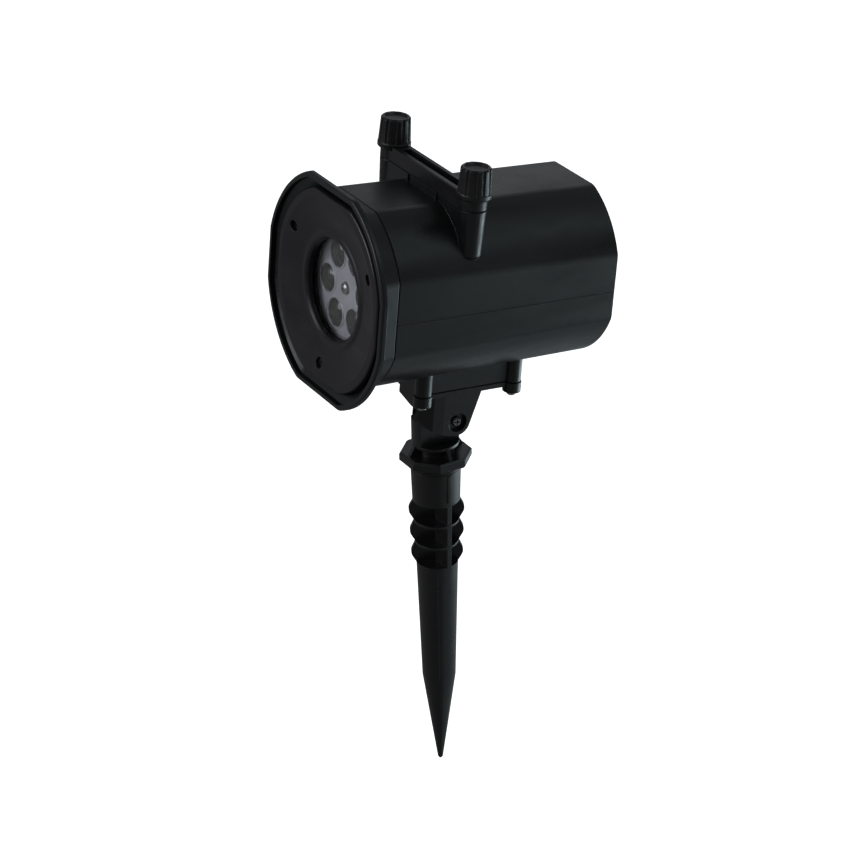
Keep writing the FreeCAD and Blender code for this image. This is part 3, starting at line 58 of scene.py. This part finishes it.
class Tree:
    """A material's nodes, with short ways to add and join them."""

    def __init__(self, name):
        self.material = bpy.data.materials.new(name)
        self.material.use_nodes = True
        self.nodes = self.material.node_tree.nodes
        self.links = self.material.node_tree.links
        self.shader = self.nodes["Principled BSDF"]
        self.place = self.add("ShaderNodeTexCoord").outputs["Object"]

    def add(self, kind, **values):
        node = self.nodes.new(kind)
        for key, value in values.items():
            setattr(node, key, value)
        return node

    def join(self, source, target):
        self.links.new(source, target)

    def drive(self, socket, source):
        """Join a source to one of the shader's own sockets."""
        self.join(source, self.shader.inputs[socket])

    def set(self, **values):
        """Set constants on the shader's own sockets, with _ for a space in their names."""
        for key, value in values.items():
            self.shader.inputs[key.replace("_", " ")].default_value = value

    def noise(self, scale, detail=3.0, roughness=0.5, stretch=None):
        node = self.add("ShaderNodeTexNoise")
        node.inputs["Scale"].default_value = scale
        node.inputs["Detail"].default_value = detail
        node.inputs["Roughness"].default_value = roughness
        source = self.place
        if stretch:
            mapping = self.add("ShaderNodeMapping")
            mapping.inputs["Scale"].default_value = stretch
            self.join(source, mapping.inputs["Vector"])
            source = mapping.outputs["Vector"]
        self.join(source, node.inputs["Vector"])
        return node.outputs["Fac"]

    def two_tone(self, source, dark, light, start=0.3, end=0.7):
        """A colour from dark to light as the source goes from start to end."""
        node = self.add("ShaderNodeValToRGB")
        stops = ((start, dark), (end, light))
        for element, (position, colour) in zip(node.color_ramp.elements, stops):
            element.position = position
            element.color = (*colour, 1.0)
        self.join(source, node.inputs["Fac"])
        return node.outputs["Color"]

    def spread(self, source, low, high, start=0.3, end=0.7):
        """A value from low to high as the source goes from start to end."""
        node = self.add("ShaderNodeMapRange")
        limits = {"From Min": start, "From Max": end, "To Min": low, "To Max": high}
        for key, value in limits.items():
            node.inputs[key].default_value = value
        self.join(source, node.inputs["Value"])
        return node.outputs["Result"]

    def math(self, operation, first, second):
        node = self.add("ShaderNodeMath", operation=operation)
        for socket, value in zip(node.inputs, (first, second)):
            self.fill(socket, value)
        return node.outputs[0]

    def mix(self, factor, first, second):
        node = self.add("ShaderNodeMix", data_type="RGBA")
        values = {MIX_FACTOR: factor, MIX_FIRST: first, MIX_SECOND: second}
        for index, value in values.items():
            self.fill(node.inputs[index], value)
        return node.outputs[MIX_RESULT]

    def fill(self, socket, value):
        """Put a number, a colour or another node's output into a socket."""
        if isinstance(value, (int, float)):
            socket.default_value = value
        elif isinstance(value, tuple):
            socket.default_value = (*value, 1.0)
        else:
            self.join(value, socket)

    def bump(self, height, strength, distance, before=None):
        """Relief of a depth in mm, laid over an earlier normal when there is one."""
        node = self.add("ShaderNodeBump")
        node.inputs["Strength"].default_value = strength
        node.inputs["Distance"].default_value = distance * MM
        self.join(height, node.inputs["Height"])
        if before is not None:
            self.join(before, node.inputs["Normal"])
        return node.outputs["Normal"]

    def soft_edges(self, radius):
        """The normal with every edge rounded to a radius in mm."""
        node = self.add("ShaderNodeBevel", samples=6)
        node.inputs["Radius"].default_value = radius * MM
        return node.outputs["Normal"]

    def worn_edges(self, rounded):
        """One where the rounded normal leaves the flat one, at edges, broken up by noise."""
        turn = self.add("ShaderNodeVectorMath", operation="DOT_PRODUCT")
        self.join(rounded, turn.inputs[0])
        self.join(self.add("ShaderNodeNewGeometry").outputs["Normal"], turn.inputs[1])
        edge = self.spread(turn.outputs["Value"], 1.0, 0.0, start=0.80, end=0.985)
        patches = self.spread(self.noise(120.0, 4.0), 0.15, 1.0, start=0.40, end=0.64)
        return self.math("MULTIPLY", edge, patches)


# ---------------------------------------------------------------- kinds of material

def moulded_plastic(name, dark, light, roughness, grain=0.05, edge_radius=0.35, coat=0.0):
    """Black moulded plastic: spark grain, flow marks, handling smudges and pale worn edges."""
    tree = Tree(name)
    clouds = tree.noise(14.0, detail=4.0, roughness=0.55)
    flecks = tree.noise(900.0, detail=2.0, roughness=0.6)
    base = tree.two_tone(clouds, dark, light, end=0.72)
    fleck_colour = tuple(channel * 1.7 + 0.004 for channel in light)
    base = tree.mix(tree.spread(flecks, 0.0, 0.35, start=0.5, end=0.8), base, fleck_colour)
    rounded = tree.soft_edges(edge_radius)
    edges = tree.math("MULTIPLY", tree.worn_edges(rounded), EDGE_WEAR)
    tree.drive("Base Color", tree.mix(edges, base, WORN_COLOUR))
    smear = tree.noise(32.0, detail=5.0, roughness=0.6, stretch=(1.0, 0.45, 2.2))
    rough = tree.spread(smear, roughness - SMUDGE_DEPTH, roughness + SMUDGE_DEPTH,
                        start=0.32, end=0.68)
    rough_flecks = tree.spread(flecks, -0.03, 0.05, end=0.75)
    tree.drive("Roughness", tree.math("ADD", rough, rough_flecks))
    fine = tree.noise(2600.0, detail=2.0, roughness=0.6)
    flow = tree.noise(55.0, detail=3.0, stretch=(1.0, 0.3, 1.0))
    normal = tree.bump(flow, 0.10, 0.12, rounded)
    tree.drive("Normal", tree.bump(fine, 0.5, grain, normal))
    tree.set(Coat_Weight=coat, Coat_Roughness=0.12, IOR=1.5)
    return tree.material


def silver_plastic(name, dark, light, flake_colour):
    """Silver-painted plastic with fine metallic flake and a slightly uneven gloss."""
    tree = Tree(name)
    base = tree.two_tone(tree.noise(26.0, detail=4.0), dark, light)
    flake = tree.noise(2400.0, detail=1.0)
    base = tree.mix(tree.spread(flake, 0.0, 0.4, start=0.55, end=0.75), base, flake_colour)
    tree.drive("Base Color", base)
    tree.drive("Roughness", tree.spread(tree.noise(60.0, detail=4.0), 0.30, 0.46))
    tree.drive("Normal", tree.bump(flake, 0.25, 0.03, tree.soft_edges(0.25)))
    tree.set(Metallic=0.25, IOR=1.5)
    return tree.material


def metal(name, dark, light, roughness):
    """Plated or cast metal with fine scratches and a little tarnish."""
    tree = Tree(name)
    stain = tree.noise(90.0, detail=5.0, roughness=0.6)
    tree.drive("Base Color", tree.two_tone(stain, dark, light))
    lines = tree.noise(300.0, detail=3.0, roughness=0.6, stretch=(1.0, 12.0, 1.0))
    tree.drive("Roughness", tree.spread(lines, roughness - 0.08, roughness + 0.1))
    tree.drive("Normal", tree.bump(lines, 0.3, SCRATCH_DEPTH, tree.soft_edges(0.12)))
    tree.set(Metallic=1.0)
    return tree.material


def clear_plastic(name, tint, roughness, transmission, ior=1.49, haze=0.0):
    """Glass or acrylic with faint dust and wipe marks in its gloss."""
    tree = Tree(name)
    dust = tree.noise(500.0, detail=4.0, roughness=0.65)
    wipe = tree.noise(24.0, detail=5.0, roughness=0.6, stretch=(2.5, 1.0, 0.7))
    dust_colour = tuple(min(1.0, channel * 1.1) for channel in tint)
    dusty = tree.spread(dust, 0.0, 0.25, start=0.6, end=0.85)
    tree.drive("Base Color", tree.mix(dusty, tint, dust_colour))
    wiped = tree.spread(wipe, roughness, roughness + 0.05, start=0.4, end=0.75)
    hazy = tree.spread(dust, 0.0, haze, start=0.55, end=0.8)
    tree.drive("Roughness", tree.math("ADD", wiped, hazy))
    tree.set(Transmission_Weight=transmission, IOR=ior)
    return tree.material


def rubber(name, dark, light):
    """Matt black rubber with a fine skin."""
    tree = Tree(name)
    clouds = tree.noise(60.0, detail=4.0)
    tree.drive("Base Color", tree.two_tone(clouds, dark, light))
    tree.drive("Roughness", tree.spread(clouds, 0.62, 0.8))
    skin = tree.noise(900.0)
    tree.drive("Normal", tree.bump(skin, 0.5, 0.05, tree.soft_edges(0.2)))
    return tree.material


def lacquered(name, dark, light, roughness=0.35):
    """Boards, films, sleeves and varnish: a coloured film with slight mottling."""
    tree = Tree(name)
    mottling = tree.noise(240.0, detail=4.0)
    tree.drive("Base Color", tree.two_tone(mottling, dark, light))
    tree.drive("Roughness", tree.spread(mottling, roughness - 0.08, roughness + 0.1))
    ripple = tree.noise(700.0, detail=2.0)
    tree.drive("Normal", tree.bump(ripple, 0.3, 0.03, tree.soft_edges(0.15)))
    tree.set(Coat_Weight=0.3, Coat_Roughness=0.15)
    return tree.material


# ---------------------------------------------------------------- the pieces' materials

# material slot: the kind of material, and its values
LOOKS = {
    "stake_plastic": (moulded_plastic, {**NEUTRAL_BLACK, "roughness": 0.34, "grain": 0.04}),
    "bracket_plastic": (moulded_plastic, {**NEUTRAL_BLACK, "roughness": 0.36}),
    "shell_plastic": (moulded_plastic, {**GREEN_BLACK, "roughness": 0.36, "edge_radius": 0.5}),
    "plate_plastic": (moulded_plastic, {**PURPLE_BLACK, "roughness": 0.34, "grain": 0.02,
                                        "edge_radius": 0.6, "coat": 0.06}),
    "cover_plastic": (moulded_plastic, {**NEUTRAL_BLACK, "roughness": 0.38}),
    "knob_plastic": (moulded_plastic, {**NEUTRAL_BLACK, "roughness": 0.36, "grain": 0.03}),
    "inner_plastic": (moulded_plastic, {**NEUTRAL_BLACK, "roughness": 0.5, "grain": 0.04}),
    "slide_plastic": (moulded_plastic, {"dark": (0.03, 0.03, 0.032), "light": (0.05, 0.05, 0.053),
                                        "roughness": 0.45}),
    "gland_plastic": (moulded_plastic, {**NEUTRAL_BLACK, "roughness": 0.42, "grain": 0.04}),
    "disc_plastic": (silver_plastic, {"dark": (0.70, 0.71, 0.76), "light": (0.84, 0.85, 0.90),
                                      "flake_colour": (0.90, 0.90, 0.93)}),
    "lens_glass": (clear_plastic, {"tint": (0.085, 0.085, 0.075), "roughness": 0.06,
                                   "transmission": 0.35, "haze": 0.1}),
    "window_glass": (clear_plastic, {"tint": (0.97, 0.98, 0.98), "roughness": 0.0,
                                     "transmission": 1.0, "ior": 1.45}),
    "seal_rubber": (rubber, {"dark": (0.010, 0.010, 0.010), "light": (0.022, 0.022, 0.021)}),
    "screw_steel": (metal, {"dark": (0.42, 0.42, 0.41), "light": (0.60, 0.60, 0.59),
                            "roughness": 0.30}),
    "motor_steel": (metal, {"dark": (0.45, 0.45, 0.43), "light": (0.62, 0.62, 0.6),
                            "roughness": 0.36}),
    "dark_screw": (metal, {"dark": (0.10, 0.10, 0.105), "light": (0.18, 0.18, 0.19),
                           "roughness": 0.36}),
    "washer_plastic": (lacquered, {"dark": (0.5, 0.5, 0.48), "light": (0.6, 0.6, 0.58)}),
    "insert_brass": (metal, {"dark": (0.55, 0.38, 0.14), "light": (0.72, 0.54, 0.25),
                             "roughness": 0.3}),
    "film": (lacquered, {"dark": (0.20, 0.05, 0.06), "light": (0.40, 0.15, 0.12),
                         "roughness": 0.2}),
    "circuit_board": (lacquered, {"dark": (0.015, 0.09, 0.035), "light": (0.03, 0.14, 0.05)}),
    "led_lens": (clear_plastic, {"tint": (0.9, 0.82, 0.45), "roughness": 0.08,
                                 "transmission": 0.5}),
    "sink_aluminium": (metal, {"dark": (0.66, 0.66, 0.67), "light": (0.8, 0.8, 0.8),
                               "roughness": 0.34}),
    "transformer": (lacquered, {"dark": (0.16, 0.10, 0.04), "light": (0.26, 0.17, 0.08)}),
    "capacitor_sleeve": (lacquered, {"dark": (0.02, 0.025, 0.06), "light": (0.04, 0.05, 0.10)}),
}


def make_materials():
    return {slot: kind(slot.replace("_", " "), **look) for slot, (kind, look) in LOOKS.items()}


def dress(frame, materials):
    """Give every CAD node the material of its slot."""
    slots = {entry["node"]: entry["material_slot"] for entry in frame["record"]["subparts"]}
    slots["pivot_bolt"] = "dark_screw"
    for name, node in frame["nodes"].items():
        node.data.materials.clear()
        node.data.materials.append(materials[slots[name]])


# ---------------------------------------------------------------- floor, light and camera

def floor_material():
    """Pale paper that glows a little, so that it stays evenly white."""
    tree = Tree("floor paper")
    paper = tree.two_tone(tree.noise(6.0), (0.86, 0.86, 0.86), (0.89, 0.89, 0.89))
    tree.drive("Base Color", paper)
    tree.drive("Normal", tree.bump(tree.noise(300.0), 0.1, 0.05))
    tree.set(Roughness=0.9, Specular_IOR_Level=0.1, Emission_Color=(1.0, 1.0, 1.0, 1.0),
             Emission_Strength=1.0)
    return tree.material


def add_floor():
    """A lit white floor that the camera sees and the dark plastic doesn't mirror."""
    mesh = bpy.data.meshes.new("floor")
    height = (SPIKE_TIP - FLOOR_GAP) * MM
    corners = [(x * FLOOR_HALF_WIDTH, y * FLOOR_HALF_WIDTH, height)
               for x, y in ((-1, -1), (1, -1), (1, 1), (-1, 1))]
    mesh.from_pydata(corners, [], [(0, 1, 2, 3)])
    floor = bpy.data.objects.new("floor", mesh)
    bpy.context.collection.objects.link(floor)
    mesh.materials.append(floor_material())
    floor.visible_glossy = False
    floor.visible_diffuse = False
    floor.visible_transmission = False


def add_softbox(name, place, target, width, height, power, colour):
    light = bpy.data.lights.new(name, "AREA")
    light.color = colour
    light.shape = "RECTANGLE"
    light.size = width
    light.size_y = height
    light.energy = power
    box = bpy.data.objects.new(name, light)
    box.location = place
    box.rotation_euler = (Vector(target) - Vector(place)).to_track_quat("-Z", "Y").to_euler()
    box.visible_camera = False
    bpy.context.collection.objects.link(box)


def add_lights():
    """A dim room, a soft key, two high softboxes behind, and three low cards for the sides."""
    world = bpy.data.worlds.new("studio")
    bpy.context.scene.world = world
    world.use_nodes = True
    background = world.node_tree.nodes["Background"]
    background.inputs["Color"].default_value = ROOM_COLOUR
    background.inputs["Strength"].default_value = ROOM_STRENGTH
    for softbox in SOFTBOXES:
        add_softbox(*softbox)


def add_camera():
    right = Vector(CAMERA_RIGHT)
    up = Vector(CAMERA_UP)
    back = right.cross(up).normalized()
    camera = bpy.data.cameras.new("camera")
    camera.lens = LENS_LENGTH
    camera.sensor_width = SENSOR_WIDTH
    camera.clip_end = FAR_CLIP
    eye = bpy.data.objects.new("camera", camera)
    turn = Matrix((right, up, back)).transposed().to_4x4()
    eye.matrix_world = Matrix.Translation(Vector(CAMERA_EYE) * MM) @ turn
    bpy.context.collection.objects.link(eye)
    bpy.context.scene.camera = eye


# ---------------------------------------------------------------- the scene

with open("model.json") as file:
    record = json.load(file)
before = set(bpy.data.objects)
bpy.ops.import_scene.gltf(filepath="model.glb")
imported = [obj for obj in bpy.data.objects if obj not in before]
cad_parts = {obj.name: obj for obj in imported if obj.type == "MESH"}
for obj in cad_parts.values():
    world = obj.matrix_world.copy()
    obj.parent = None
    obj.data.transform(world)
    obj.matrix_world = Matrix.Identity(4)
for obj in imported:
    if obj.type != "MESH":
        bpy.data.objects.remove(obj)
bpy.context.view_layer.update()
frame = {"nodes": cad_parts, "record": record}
dress(frame, make_materials())
add_floor()
add_lights()
add_camera()
bpy.context.scene.view_settings.view_transform = "Standard"
